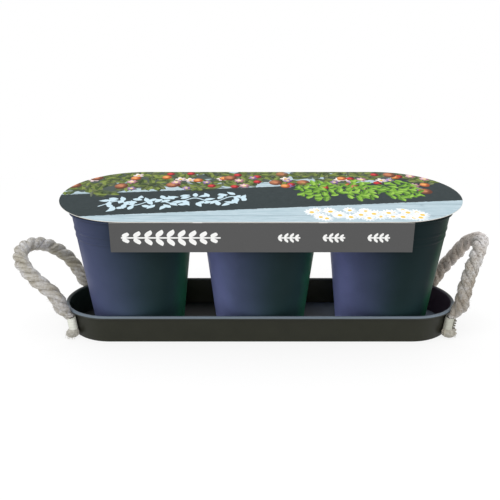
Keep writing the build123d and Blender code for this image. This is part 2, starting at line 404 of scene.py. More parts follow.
rope_lines = {}
for (name, side), route in zip(handle_sides, (left_route, right_route)):
    line = smooth_points(full_route(side, route))
    rope_lines[name] = line
    print(name, "rope:", len(line), "points,", round(along_line(line)[-1] / mm, 1), "mm")

# %% [markdown]
# ## Strands and hairs as tubes
# A strand, a single yarn and a stray hair are all tubes that follow a line. Each needs rings of
# points square to its line, so two directions are carried along the line without twisting. All
# the tubes of one rope are gathered into one mesh, with the map that the cotton finish reads.

# %% Make tubes that follow a line
def new_mesh_piece(name, points, faces, material, smooth=True):
    """Makes an object from points in metres, with faces given by point numbers."""
    mesh = bpy.data.meshes.new(name)
    mesh.from_pydata([tuple(point) for point in points], [], faces)
    mesh.materials.append(material)
    if smooth:
        mesh.shade_smooth()
    mesh.update()
    piece = bpy.data.objects.new(name, mesh)
    scene.collection.objects.link(piece)
    return piece


def tube_faces(first, rings, sides):
    """The faces of a closed tube whose rings of points follow each other from a first number."""
    faces = []
    for ring in range(rings - 1):
        for side in range(sides):
            here = first + ring * sides + side
            beside = first + ring * sides + (side + 1) % sides
            faces.append((here, beside, beside + sides, here + sides))
    faces.append(tuple(first + side for side in reversed(range(sides))))
    last = first + (rings - 1) * sides
    faces.append(tuple(last + side for side in range(sides)))
    return faces


def travelling_frames(line):
    """The line's heading, and two directions square to it, carried along without twisting."""
    heading = np.gradient(line, axis=0)
    heading /= np.linalg.norm(heading, axis=1, keepdims=True)
    first = np.cross(heading[0], (0.0, 0.0, 1.0))
    first /= np.linalg.norm(first)
    firsts = [first]
    for direction in heading[1:]:
        carried = firsts[-1] - direction * np.dot(firsts[-1], direction)
        firsts.append(carried / np.linalg.norm(carried))
    firsts = np.array(firsts)
    return heading, firsts, np.cross(heading, firsts)


def thin_tube(points, radius, sides, taper=0.3):
    """Rings of points round a few points of a hair or yarn, thinner towards its end."""
    _, first, second = travelling_frames(np.array(points))
    rings = []
    for number in range(len(points)):
        size = radius * (1 - (1 - taper) * number / (len(points) - 1))
        for side in range(sides):
            around = 2 * math.pi * side / sides
            direction = first[number] * math.cos(around) + second[number] * math.sin(around)
            rings.append(points[number] + direction * size)
    return rings


# %% Gather tubes into one piece
yarn_map_turn = 0.03


class Bundle:
    """Strands, yarns and hairs for one mesh, with the map that their yarns follow."""

    def __init__(self):
        self.points, self.faces, self.map = [], [], []

    def add(self, rings, alongs, arounds):
        """Adds a tube. The map has one number along it for each ring and one round for each side."""
        self.faces += tube_faces(len(self.points), len(alongs), len(arounds))
        self.points += rings
        self.map += [(along, around) for along in alongs for around in arounds]

    def add_yarn(self, line, radius, sides, taper, map_step):
        """Adds a thin tube along a line."""
        alongs = [map_step * ring for ring in range(len(line))]
        arounds = [yarn_map_turn * side for side in range(sides)]
        self.add(thin_tube(line, radius, sides, taper), alongs, arounds)

    def piece(self, name):
        """Makes the mesh, with its map."""
        piece = new_mesh_piece(name, self.points, self.faces, cotton)
        layer = piece.data.uv_layers.new(name="strand")
        for loop in piece.data.loops:
            layer.data[loop.index].uv = self.map[loop.vertex_index]
        return piece


print("a hair of 4 rings with 4 sides has", len(tube_faces(0, 4, 4)), "faces")

# %% [markdown]
# ## Twisting three strands
# A laid rope is three strands that wind round each other like a staircase. Each strand is a tube
# whose middle circles the rope's own line, one full turn in every 33 mm, turning to the left as
# this rope's does. The strands lean on each other, so their middles stand closer than their radii
# would allow. A rope is never even: the strands swell and thin a little, single yarns lie in
# ridges along them, and handling has raised a woolly nap, more on the right rope than the left.

# %% Shape one strand
lay_length = 33.0 * mm
strand_share = 0.56
strand_sides = 28
swell_share, swell_length = 0.045, 9.1 * mm
ripple_share, ripple_length = 0.03, 3.7 * mm
yarn_ridges, ridge_share, ridge_lay = 11, 0.014, 13 * mm
wide_nap, fine_nap, fine_nap_share = 2.6 * mm, 1.2 * mm, 0.6
fuzz_share = 0.013


def rope_radius(distance, length):
    """The rope's radius: squeezed where it leaves a sleeve, full from 13 mm on."""
    nearest = np.minimum(distance, length - distance) / mm
    return np.interp(nearest, [0, 1.5, 6.0, 9.0, 13.0], [3.4, 4.0, 4.7, 5.8, 6.4]) * mm


def strand_middle(line, distance, radii, turn):
    """The middle of a strand that winds round the rope, with its directions out and sideways."""
    _, first, second = travelling_frames(line)
    angle = -2 * math.pi * distance / lay_length + turn
    outward = first * np.cos(angle)[:, None] + second * np.sin(angle)[:, None]
    middle = line + outward * (radii - radii * strand_share)[:, None]
    forward = np.gradient(middle, axis=0)
    forward /= np.linalg.norm(forward, axis=1, keepdims=True)
    out = outward - forward * np.sum(outward * forward, axis=1, keepdims=True)
    out /= np.linalg.norm(out, axis=1, keepdims=True)
    return middle, out, np.cross(forward, out)


def strand_rings(line, distance, radii, turn, woolly, rng):
    """The rings of points of one strand, with its swells, its ridges of yarn and its nap."""
    middle, out, sideways = strand_middle(line, distance, radii, turn)
    swell_start, ripple_start, ridge_start, _ = [rng.uniform(0, 2 * math.pi) for _ in range(4)]
    swell = 1 + swell_share * np.sin(distance / swell_length + swell_start)
    swell += ripple_share * np.sin(distance / ripple_length + ripple_start)
    strand_radius = radii * strand_share * swell
    rings = []
    for number, centre in enumerate(middle):
        for side in range(strand_sides):
            around = 2 * math.pi * side / strand_sides
            direction = out[number] * math.cos(around) + sideways[number] * math.sin(around)
            winding = yarn_ridges * around + 2 * math.pi * distance[number] / ridge_lay
            ridge = math.cos(winding + ridge_start)
            spot = Vector(centre + direction * strand_radius[number])
            nap = noise.noise(spot / wide_nap) + fine_nap_share * noise.noise(spot / fine_nap)
            reach = 1 + ridge_share * ridge + woolly * nap + rng.gauss(0, fuzz_share)
            rings.append(centre + direction * (strand_radius[number] * reach))
    return rings


# %% Stand hairs on the strands
hair_count = 420
hair_radius = 0.09 * mm
hair_lengths = (1.2 * mm, 3.0 * mm)
hair_sides = 4
bare_radius = 4.5 * mm


def stray_hair(start, outward, forward, length, rng):
    """The points of one fine hair that stands off the rope, and of the bend in it."""
    lean = forward * rng.uniform(-1, 1) + outward * rng.uniform(0.35, 0.8)
    lean += np.cross(forward, outward) * rng.uniform(-0.8, 0.8)
    lean /= np.linalg.norm(lean)
    curl = np.cross(lean, forward) * rng.uniform(-0.6, 0.6)
    return [start + lean * (length * step) + curl * (length * step * step) for step in (0, 0.35, 0.7, 1)]


def add_hairs(bundle, line, distance, radii, rng):
    """Stands fine hairs on the strands, wherever the rope isn't squeezed."""
    strand_points = len(bundle.points)
    heading, _, _ = travelling_frames(line)
    for _ in range(hair_count):
        pick = rng.randrange(strand_points)
        number = (pick % (len(line) * strand_sides)) // strand_sides
        if radii[number] < bare_radius:
            continue
        start = bundle.points[pick]
        outward = start - line[number]
        outward /= np.linalg.norm(outward)
        hair = stray_hair(start, outward, heading[number], rng.uniform(*hair_lengths), rng)
        rings = thin_tube(hair, hair_radius, hair_sides)
        bundle.add(rings, [distance[number]] * len(hair), [0.0] * hair_sides)


# %% Twist the ropes
# Each rope, how woolly its nap is, and the seed of its chances.
napped_ropes = (("left", 0.09, 11), ("right", 0.2, 23))


def twist_rope(name, line, woolly, seed):
    """One rope of three strands with its stray hairs."""
    rng = random.Random(seed)
    distance = along_line(line)
    radii = rope_radius(distance, distance[-1])
    bundle = Bundle()
    arounds = [side / strand_sides for side in range(strand_sides)]
    for strand in range(3):
        turn = 2 * math.pi * strand / 3
        bundle.add(strand_rings(line, distance, radii, turn, woolly, rng), distance, arounds)
    add_hairs(bundle, line, distance, radii, rng)
    return bundle.piece(name)


for name, woolly, seed in napped_ropes:
    line = rope_lines[name]
    rope = twist_rope(f"rope_{name}", line, woolly, seed)
    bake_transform(rope)
    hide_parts(f"rope_{name}_loop", f"rope_{name}_front_end", f"rope_{name}_back_end")
    print(rope.name, len(rope.data.vertices), "points")

# %% [markdown]
# ## The frayed tails
# Below its sleeve each rope ends in a short frayed tuft that has opened out like a brush. A soft
# core fills the middle, and round it yarns leave the sleeve, swell outward and curl in under the
# tuft. Some hairs stand off, and on the right three thick yarns have sprung loose. The yarns are
# drawn one by one, because a tuft's ragged outline is what makes it look frayed.

# %% Shape a tuft's core and its yarns
sleeve_foot = (sleeve_angle, 46.95, 8.5)
tuft_middle = (sleeve_angle, 48.3, 4.6)
tuft_radius = 5.4 * mm
tuft_floor = 0.7 * mm
core_sides = 20
core_share = 0.92
# The core's heights and how far out it reaches there, in millimetres, from the sleeve down.
core_profile = [
    (9.6, 3.0), (8.4, 3.5), (7.0, 4.6), (5.6, 5.2), (4.0, 5.3), (2.6, 4.8), (1.4, 3.6), (0.8, 1.6)
]


def round_way(out, along, around):
    """The level direction at a turn round the tuft."""
    return out * math.cos(around) + along * math.sin(around)


def tuft_core(foot, middle, out, along):
    """A lumpy egg that fills the tuft, as rings from the sleeve down to the floor."""
    rings = []
    for height, reach in core_profile:
        share = (height * mm - middle.z) / (foot.z - middle.z)
        centre = middle.lerp(foot, max(0.0, share))
        centre.z = height * mm
        for side in range(core_sides):
            around = 2 * math.pi * side / core_sides
            lump = 1 + 0.05 * math.sin(5 * around + height)
            rings.append(centre + round_way(out, along, around) * (reach * core_share * lump * mm))
    return rings


def tuft_yarn(foot, middle, direction, rng, stray):
    """One yarn: out of the sleeve, over the tuft's side and in under it."""
    reach = tuft_radius * rng.uniform(0.92, 1.08)
    if stray:
        reach *= rng.uniform(1.05, 1.25)
    start = foot + direction * (2.7 * mm) + Vector((0, 0, 1.0 * mm))
    shoulder = foot.lerp(middle, 0.55) + direction * (reach * 0.86)
    belly = middle + direction * reach
    belly.z = rng.uniform(3.2, 5.2) * mm
    low = middle + direction * (reach * rng.uniform(0.72, 0.95))
    low.z = rng.uniform(1.4, 2.2) * mm
    tip = middle + direction * (reach * rng.uniform(0.3, 0.6))
    tip.z = tuft_floor + rng.uniform(0.3, 0.7) * mm
    if stray:
        tip = middle + direction * (reach * 1.1)
        tip.z = rng.uniform(1.0, 2.4) * mm
    return smooth_points([start, shoulder, belly, low, tip])[::7]


def loose_curl(foot, middle, direction, height, reach):
    """A thick yarn that has sprung out of the tuft and curls back to it."""
    start = foot + direction * (2.4 * mm) + Vector((0, 0, 0.6 * mm))
    points = [start]
    for further, higher in ((0.0, 1.5), (0.9, 0.0), (-1.4, -0.8)):
        point = middle + direction * ((reach + further) * mm)
        point.z = (height + higher) * mm
        points.append(point)
    return smooth_points(points)[::5]


# %% Fray the tails
yarn_count = 44
stray_count = 10
yarn_sides = 6
yarn_radii = (0.36, 0.48)
stray_radius = 0.16 * mm
curl_radius = 0.75 * mm
curl_sides = 8
# Each curl's turn round the tuft, its height and its reach in millimetres.
curls = ((0.75, 6.6, 5.9), (0.35, 4.4, 6.0), (1.1, 3.2, 5.6))


def fray_tail(name, side, end, seed):
    """One frayed tuft with its yarns and hairs."""
    rng = random.Random(seed)
    foot = leg_place(side, end, sleeve_foot)
    middle = leg_place(side, end, tuft_middle)
    out = (middle - Vector((side * end_centre * mm, 0, middle.z))).normalized()
    along = Vector((-out.y, out.x, 0))
    bundle = Bundle()
    core_map = [0.001 * ring for ring in range(len(core_profile))]
    bundle.add(tuft_core(foot, middle, out, along), core_map, [0.1] * core_sides)
    for number in range(yarn_count + stray_count):
        stray = number >= yarn_count
        around = 2 * math.pi * number / yarn_count + rng.uniform(-0.08, 0.08)
        yarn = tuft_yarn(foot, middle, round_way(out, along, around), rng, stray)
        radius = stray_radius if stray else rng.uniform(*yarn_radii) * mm
        bundle.add_yarn(yarn, radius, yarn_sides, taper=0.7, map_step=0.0007)
    for turn, height, reach in curls if side > 0 else ():
        curl = loose_curl(foot, middle, round_way(out, along, -turn * end), height, reach)
        bundle.add_yarn(curl, curl_radius, curl_sides, taper=0.8, map_step=0.0012)
    tail = bundle.piece(name)
    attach(tail, "tray")
    return tail


for name, side in handle_sides:
    for place, end in rope_ends:
        tail = fray_tail(f"rope_{name}_{place}_tail", side, end, 5 + side + 3 * end)
        print(tail.name, len(tail.data.vertices), "points")

# %% [markdown]
# ## The tray's lacquer
# The tray is thin sheet steel under a satin lacquer, nearly black with an olive cast. Faint
# mottling, fine specks of dust and a slight peel keep it from looking like plastic. Its rolled rim
# carries a pale painted highlight along the front, and the floor plate inside carries a painted
# reflection that grows paler towards the right. The finish goes by the way the wall faces to paint
# shade where it turns round the tray's ends, and a faint painted reflected light inside each end.

# %% Lacquer the tray
def facing(tree):
    """Which way the surface faces, in the piece's own directions."""
    return split(add_node(tree, "ShaderNodeTexCoord").outputs["Normal"])


def give_peel(shader, place, scale):
    """The faint orange-peel bumps of sprayed lacquer."""
    give_bump(shader, clouds(place, scale, detail=2.0), 0.12, 0.1 * mm)


def tray_lacquer():
    material, tree, shader = start_material("tray_lacquer")
    place, x_place, deep, height = object_place(tree)
    across, _, _ = facing(tree)
    mottle = clouds(place, 70.0, detail=4.0)
    specks = ramp(clouds(place, 2600.0, detail=2.0), 0.68, 0.78)
    colour = lay_tints(
        mix_colours(mottle, paint(29, 30, 20), paint(39, 40, 30)),
        (specks * 0.3, (84, 86, 84)),
        # Painted shade where the wall turns round the tray's ends.
        (ramp(abs(across), 0.3, 0.9) * 0.85, (12, 12, 11)),
        # Painted reflected light inside each end: purple on the right, green on the left.
        (ramp(across, -0.3, -0.8) * ramp(x_place, 0.1, 0.14), (60, 50, 62)),
        (ramp(across, 0.3, 0.8) * ramp(x_place, -0.1, -0.14), (28, 38, 34)),
        # Painted highlight along the front of the rolled rim.
        (ramp(height, 24.5 * mm, 25.6 * mm) * ramp(deep, 0.0, -36 * mm, 0.12, 1.0), (102, 113, 123)),
    )
    give_surface(shader, colour, ramp(mottle, 0.3, 0.7, 0.34, 0.46), specular=0.2)
    give_peel(shader, place, 1300.0)
    return report_finish(material)


def floor_lacquer():
    material, tree, shader = start_material("tray_floor_lacquer")
    place, across, _, _ = object_place(tree)
    mottle = clouds(place, 70.0, detail=4.0)
    # Painted reflection: the floor plate grows paler and bluer towards the right.
    colour = mix_colours(ramp(across, 0.0, 140 * mm), paint(20, 22, 22), paint(92, 102, 116))
    colour = mix_colours(ramp(mottle, 0.3, 0.7, 0.0, 0.3), colour, paint(30, 32, 34))
    give_surface(shader, colour, roughness=0.45, specular=0.3)
    give_peel(shader, place, 1300.0)
    return report_finish(material)


def finish_nodes(material, *names):
    """Gives measured pieces their finish."""
    for name in names:
        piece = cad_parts[name]
        if not piece.data.materials:
            piece.data.materials.append(material)
        for spot in range(len(piece.data.materials)):
            piece.data.materials[spot] = material


finish_nodes(tray_lacquer(), "tray_wall", "sleeve_rivets")
finish_nodes(floor_lacquer(), "tray_floor")

# %% [markdown]
# ## The pots' lacquer
# The pots' lacquer is slate, with a painted sheen that leans from blue-violet on one flank, through
# slate in front, to dark green on the other. A sheen like that follows which way the wall faces, so
# the finish reads the wall's own direction and mixes three colours by it. Each pot stands at its own
# turn in the tray, so the sheen is turned a little from pot to pot: the pot's number, -1, 0 or 1,
# comes from its place. Painted light and shade then lighten the lacquer low down, on its green flank
# and on the flank beside a neighbouring pot, and darken it at the top and on the far right.

# %% Lacquer the pots
pot_names = ("left", "middle", "right")
pot_pitch = 113.5 * mm
pot_turn = -0.24
violet_sheen_start, violet_sheen_reach, violet_sheen_power = 0.4, 1.4, 1.9
green_sheen_foot, green_sheen_step, green_sheen_end = 0.68, 0.1, 0.98


def pot_painted_light_and_shade(lean, x_place, height, pot_number):
    """Painted light and shade: darker at the top and far right, lighter low, on the green flank and beside
    a neighbour.
    """
    depth = ramp(height, 50 * mm, 115 * mm, 1.0, 0.72) * ramp(height, 8 * mm, 50 * mm, 1.6, 1.0)
    depth = depth * ramp(lean, 0.4, 1.0, 1.0, 1.9)
    depth = depth * ramp(x_place, 120 * mm, 165 * mm, 1.0, 0.34)
    # Painted light on the flank that faces a neighbouring pot.
    beside = ramp(lean, -0.3, -1.0) * ramp(pot_number, -0.5, 0.0, 0.0, 0.9)
    return depth * (beside + 1.0)


def pot_lacquer():
    material, tree, shader = start_material("pot_lacquer")
    place, x_place, _, height = object_place(tree)
    across, ahead, _ = facing(tree)
    mottle = clouds(place, 60.0, detail=4.0)
    pot_number = calculate("ROUND", x_place / pot_pitch)
    lean = across * 0.97 + ahead * pot_number * pot_turn + ramp(mottle, 0.3, 0.7, -0.02, 0.02)
    # Painted sheen: blue-violet on one flank, dark green on the other.
    painted_violet_sheen = calculate("DIVIDE", violet_sheen_start - lean, violet_sheen_reach, clamp=True)
    painted_violet_sheen = calculate("POWER", painted_violet_sheen, violet_sheen_power) * (pot_number * 0.22 + 0.8)
    green = ramp(lean, pot_number * green_sheen_step + green_sheen_foot, green_sheen_end)
    specks = ramp(clouds(place, 2400.0, detail=2.0), 0.68, 0.8)
    colour = lay_tints(
        mix_colours(ramp(pot_number, -1.0, 1.0), paint(26, 42, 44), paint(20, 35, 37)),
        (painted_violet_sheen, (97, 102, 146)),
        (green, (22, 66, 46)),
        (specks * 0.15, (80, 90, 100)),
    )
    # Painted light and shade multiply the lacquer's colour.
    depth = pot_painted_light_and_shade(lean, x_place, height, pot_number)
    depth = add_node(tree, "ShaderNodeCombineXYZ", {0: depth, 1: depth, 2: depth}).outputs[0]
    painted_light_inputs = {0: 1.0, 6: colour, 7: depth}
    colour = add_node(tree, "ShaderNodeMix", painted_light_inputs, data_type="RGBA", blend_type="MULTIPLY").outputs[2]
    give_surface(shader, colour, ramp(mottle, 0.3, 0.7, 0.42, 0.54), specular=0.05)
    give_peel(shader, place, 1200.0)
    return report_finish(material)


pot_finish = pot_lacquer()
for place in pot_names:
    finish_nodes(pot_finish, f"pot_{place}_wall", f"pot_{place}_base")

# %% [markdown]
# ## The sleeves and their crimped seams
# A sleeve is a strip of sheet in cream enamel, wrapped round the rope and pressed shut with
# toothed pliers. The enamel has fine creases across it, darkened with painted shade, and painted
# light and shade make it paler on the left sleeves and greyer on the right. The pliers leave a
# narrow fin along the sleeve with notches bitten out of its edge, rubbed down to the metal. The fin
# is a flat outline with a thickness that goes in and out once for every tooth: a bump pattern
# couldn't break the sleeve's outline the way the notches do.

# %% Enamel the sleeves
def sleeve_enamel():
    material, tree, shader = start_material("sleeve_enamel")
    place, across, _, height = object_place(tree)
    dirt = clouds(place, 400.0, detail=4.0)
    # Painted light on the left sleeves and painted shade on the right ones, each mottled with dirt.
    left_enamel_painted_light = mix_colours(dirt, paint(206, 208, 196), paint(224, 226, 218))
    right_enamel_painted_shade = mix_colours(dirt, paint(138, 139, 126), paint(184, 184, 170))
    colour = mix_colours(ramp(across, *right_half, 0.0, 0.8), left_enamel_painted_light, right_enamel_painted_shade)
    # Painted shade in the fine creases.
    crease = ramp(calculate("SINE", height * (2 * math.pi / (2.6 * mm))), 0.75, 1.0)
    colour = mix_colours(crease * 0.25, colour, paint(150, 148, 132))
    give_surface(shader, colour, ramp(dirt, 0.3, 0.7, 0.45, 0.6))
    give_bump(shader, 1.0 - crease, 0.5, 0.2 * mm)
    return report_finish(material)


def seam_metal():
    material, tree, shader = start_material("crimp_seam")
    place, _, _, _ = object_place(tree)
    rubbed = clouds(place, 700.0, detail=4.0)
    colour = mix_colours(ramp(rubbed, 0.35, 0.65), paint(66, 64, 56), paint(126, 123, 110))
    give_surface(shader, colour, roughness=0.5)
    shader.inputs["Metallic"].default_value = 0.4
    give_bump(shader, rubbed, 0.4, 0.1 * mm)
    return report_finish(material)


sleeve_finish = sleeve_enamel()
for name, _ in handle_sides:
    finish_nodes(sleeve_finish, *[f"rope_sleeve_{name}_{place}" for place, _ in rope_ends])

# %% Press the seams
seam_teeth = 4
seam_low, seam_high = 1.0, 10.8
seam_foot, notch_reach, slope_reach, tooth_reach = 3.5, 4.4, 5.5, 6.2
seam_head = 4.6
seam_half = 0.55 * mm
seam_finish = seam_metal()
seam_ways = {"left": (-0.55, 0.83), "right": (0.9, -0.44)}
# How far out the fin goes at each share of one tooth.
tooth_shares = (
    (slope_reach, 0.1), (tooth_reach, 0.22), (tooth_reach, 0.5),
    (slope_reach, 0.62), (notch_reach, 0.68), (notch_reach, 0.96),
)


def seam_outline():
    """The fin's outline: how far from the sleeve's middle and how far up it, in millimetres."""
    step = (seam_high - seam_low) / seam_teeth
    outline = [(seam_foot, seam_low)]
    for tooth in range(seam_teeth):
        foot = seam_low + tooth * step
        outline += [(reach, foot + share * step) for reach, share in tooth_shares]
    outline[-2:] = [(seam_head, seam_high)]
    return outline + [(seam_foot, seam_high)]


def press_seam(name, side, end, direction):
    """The notched fin of one sleeve, standing out from it in one direction."""
    foot = leg_place(side, end, sleeve_foot)
    up = (leg_place(side, end, sleeve_mouth) - foot).normalized()
    out = Vector(direction)
    out = (out - up * out.dot(up)).normalized()
    half = up.cross(out) * seam_half
    outline = [foot + out * (reach * mm) + up * (height * mm) for reach, height in seam_outline()]
    count = len(outline)
    points = [spot - half for spot in outline] + [spot + half for spot in outline]
    faces = [tuple(range(count)), tuple(reversed(range(count, 2 * count)))]
    for spot in range(count):
        beyond = (spot + 1) % count
        faces.append((spot, count + spot, count + beyond, beyond))
    seam = new_mesh_piece(name, points, faces, seam_finish, smooth=False)
    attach(seam, "tray")
    return seam


for name, side in handle_sides:
    across, deep = seam_ways[name]
    for place, end in rope_ends:
        seam = press_seam(f"sleeve_seam_{name}_{place}", side, end, (across, -end * deep, 0))
        print(seam.name, len(seam.data.vertices), "points")

# %% [markdown]
# ## The growing kit inside the pots
# Under the card each pot holds a pressed disc of coconut fibre with a paper sachet of seeds on
# it. The disc is brown, with short fibres pressed flat in every direction: a stretched cloud
# pattern, turned three ways, gives the felted look. The sachet is a little pillow of uncoated
# paper with flat crimped seams at its edges, so its mesh is a grid that swells in the middle.

# %% Finish the discs
def coir_material():
    material, tree, shader = start_material("pressed_coir")
    place, _, _, _ = object_place(tree)
    fibres = []
    for turn in (0.4, 1.5, 2.6):
        inputs = {"Vector": place, "Rotation": (0.0, 0.0, turn), "Scale": (1.0, 9.0, 1.0)}
        turned = add_node(tree, "ShaderNodeMapping", inputs).outputs[0]
        fibres.append(ramp(clouds(turned, 160.0, detail=4.0, roughness=0.65), 0.45, 0.65))
    felt = calculate("MAXIMUM", calculate("MAXIMUM", fibres[0], fibres[1]), fibres[2])
    crumbs = clouds(place, 350.0, detail=4.0)
    colour = mix_colours(crumbs, paint(60, 40, 26), paint(104, 72, 46))
    colour = mix_colours(felt * 0.7, colour, paint(150, 110, 72))
    give_surface(shader, colour, roughness=0.95, specular=0.1)
    give_bump(shader, felt + crumbs, 0.9, 0.8 * mm)
    return report_finish(material)


finish_nodes(coir_material(), *[f"coir_disc_{place}" for place in pot_names])

# %% Shape the sachets' paper
sachet_seam = 5.0 * mm
paper_thickness = 0.5 * mm
crimp_depth = 0.12 * mm
crimp_pitch = 1.3 * mm
crumple_share = 0.12


def sachet_paper_material():
    material, tree, shader = start_material("sachet_paper")
    place, _, _, _ = object_place(tree)
    pulp = clouds(place, 500.0, detail=5.0, roughness=0.7)
    colour = mix_colours(pulp, paint(196, 182, 152), paint(222, 211, 186))
    give_surface(shader, colour, roughness=0.85, specular=0.2)
    give_bump(shader, pulp, 0.4, 0.15 * mm)
    return report_finish(material)


def paper_height(x, y, width, depth, height):
    """How high the paper stands: flat and crimped along the edges, swollen in the middle."""
    inward_x = (width / 2 - abs(x) - sachet_seam) / (width / 2 - sachet_seam)
    inward_y = (depth / 2 - abs(y) - sachet_seam) / (depth / 2 - sachet_seam)
    crown = max(0.0, inward_x) ** 0.5 * max(0.0, inward_y) ** 0.5
    crumple = 1 + crumple_share * math.sin(210 * x + 3) * math.sin(170 * y + 150 * x)
    on_seam = inward_x <= 0 or inward_y <= 0
    crimp = crimp_depth * math.sin(2 * math.pi * y / crimp_pitch) if on_seam else 0.0
    return paper_thickness + crimp_depth + crimp + (height - 2 * paper_thickness) * crown * crumple


paper_finish = sachet_paper_material()

# %% Fold the sachets
sachet_columns, sachet_rows = 60, 76


def grid_border(columns, rows):
    """The numbers of a grid's border points, once round."""
    across = columns + 1
    border = list(range(columns))
    border += [columns + row * across for row in range(rows)]
    border += [rows * across + column for column in range(columns, 0, -1)]
    return border + [row * across for row in range(rows, 0, -1)]


def fold_sachet(place):
    """A pillow of paper on the disc: a closed grid, crimped at its four edges."""
    low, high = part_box(f"seed_sachet_{place}")
    width, depth, height = (high[axis] - low[axis] for axis in range(3))
    centre = [(low[axis] + high[axis]) / 2 for axis in range(2)]
    tops, bottoms, faces = [], [], []
    for row in range(sachet_rows + 1):
        for column in range(sachet_columns + 1):
            x = (column / sachet_columns - 0.5) * width
            y = (row / sachet_rows - 0.5) * depth
            tops.append((centre[0] + x, centre[1] + y, low[2] + paper_height(x, y, width, depth, height)))
            bottoms.append((centre[0] + x, centre[1] + y, low[2]))
    below = len(tops)
    across = sachet_columns + 1
    for row in range(sachet_rows):
        for column in range(sachet_columns):
            near = row * across + column
            far = near + across
            faces.append((near, near + 1, far + 1, far))
            faces.append((below + near, below + far, below + far + 1, below + near + 1))
    border = grid_border(sachet_columns, sachet_rows)
    for here, beyond in zip(border, border[1:] + border[:1]):
        faces.append((below + here, below + beyond, beyond, here))
    sachet = new_mesh_piece(f"sachet_{place}", tops + bottoms, faces, paper_finish)
    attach(sachet, f"pot_{place}")
    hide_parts(f"seed_sachet_{place}")
    return sachet


for place in pot_names:
    sachet = fold_sachet(place)
    print(sachet.name, len(sachet.data.vertices), "points")

# %% [markdown]
# ## The printed card
# The card carries a plain garden picture in soft blues and greens: painted boards, a slate band,
# leaves along the back, fresh tufts on the right and daisies in front. It could be drawn with
# hundreds of flat leaf shapes, but stacked flat shapes flicker in other viewers. Instead the
# shader draws it: a cell pattern scatters one leaf into each cell, each turned its own way, and a
# few such layers lie over each other.

# %% Scatter spots over the card
seed_shift = (7.3, 3.1)
scatter = 0.85


def place_in_mm(tree):
    """The place on a piece in millimetres, and that place's three numbers."""
    place, _, _, _ = object_place(tree)
    scaled = add_node(tree, "ShaderNodeVectorMath", {0: place, "Scale": 1 / mm}, operation="SCALE")
    place_mm = scaled.outputs[0]
    return (place_mm, *split(place_mm))


def less(first, second):
    """The way from one place to another."""
    tree = first.id_data
    return add_node(tree, "ShaderNodeVectorMath", {0: first, 1: second}, operation="SUBTRACT").outputs[0]


def scattered(place_mm, cell, seed):
    """Scatters spots: the way to each point from its spot, the spot and its three chances."""
    tree = place_mm.id_data
    shift = (seed * seed_shift[0], seed * seed_shift[1], 0.0)
    inputs = {"Vector": place_mm, "Location": shift, "Scale": (1 / cell, 1 / cell, 0.0)}
    moved = add_node(tree, "ShaderNodeMapping", inputs).outputs[0]
    inputs = {"Vector": moved, "Scale": 1.0, "Randomness": scatter}
    spots = add_node(tree, "ShaderNodeTexVoronoi", inputs, voronoi_dimensions="2D").outputs
    inputs = {0: less(moved, spots["Position"]), "Scale": cell}
    offset = add_node(tree, "ShaderNodeVectorMath", inputs, operation="SCALE").outputs[0]
    chances = add_node(tree, "ShaderNodeSeparateColor", {0: spots["Color"]}).outputs
    spot_x, spot_y, _ = split(less(place_mm, offset))
    return offset, spot_x, spot_y, [Amount(chance) for chance in chances]


# %% Draw one leaf or one bloom in each cell
def leaf_layer(place_mm, cell, length, width, seed, upright=0.0):
    """One leaf in each cell: where it lies, how light it is there, and where its spot is."""
    offset, spot_x, spot_y, chances = scattered(place_mm, cell, seed)
    spread = 2 * math.pi * (1 - upright)
    angle = chances[0] * spread + (math.pi - spread) / 2 * upright
    inputs = {"Vector": offset, "Center": (0.0, 0.0, 0.0), "Angle": angle}
    turned = add_node(offset.id_data, "ShaderNodeVectorRotate", inputs, rotation_type="Z_AXIS").outputs[0]
    along, beside, _ = split(turned)
    share = along / length
    edge = (0.25 - share * share) * (1.0 + share * 0.9) * (2 * width)
    side_reach = abs(beside)
    mask = ramp(edge - side_reach, -0.15, 0.2)
    rib = ramp(side_reach, 0.4, 0.1)
    veins = calculate("SINE", (along + side_reach) * 4.2)
    light = ramp(beside, -0.5, 0.5, 0.05, 0.55) + rib * 0.3 + veins * 0.05 + share * 0.35
    light = calculate("ADD", light, chances[2] * 0.45, clamp=True)
    return mask, light, spot_x, spot_y


def round_layer(place_mm, cell, radius, seed, petals=0):
    """One berry in each cell, or one blossom if it has petals, its heart last."""
    offset, spot_x, spot_y, chances = scattered(place_mm, cell, seed)
    x, y, _ = split(offset)
    length = add_node(offset.id_data, "ShaderNodeVectorMath", {0: offset}, operation="LENGTH")
    reach = Amount(length.outputs["Value"])
    edge = radius
    if petals:
        around = calculate("ARCTAN2", y, x) + chances[0] * 6.0
        wave = abs(calculate("COSINE", around * (petals / 2)))
        edge = radius * 0.5 + wave * (radius * 0.5)
    mask = ramp(edge - reach, -0.1, 0.2)
    lit_x = x + radius * 0.3
    lit_y = y - radius * 0.3
    light = ramp(calculate("SQRT", lit_x * lit_x + lit_y * lit_y), radius * 1.2, 0.0)
    heart = ramp(reach, radius * 0.35, radius * 0.25)
    return mask, light, spot_x, spot_y, heart


# %% [markdown]
# With those layers the picture is built from the back to the front: boards, slate band, vine,
# leaves, blossoms and berries, tall fresh tufts over the band and last a row of daisies. Each shape
# asks where its own spot lies, so that a shape at a border stays whole. A dark bed under the leaves
# and the gaps between the bunches give the picture its depth. It all climbs a little to the right.

# %% Paint the boards and the slate band
board_width = 23.0
# The boards are counted from well in front of the card, because a remainder needs a number above 0.
boards_start = -505.0
picture_slant = 0.1
slate_foot = -31.0
slate_top, slate_top_right = 16.0, 34.0


def between(amount, low, high, soft=0.4):
    """1 where an amount lies between two others, with soft borders."""
    return ramp(amount, low - soft, low + soft) * ramp(amount, high + soft, high - soft)


def straightened(x, y):
    """The way across the card, measured from lines that climb a little to the right."""
    return y - x * picture_slant


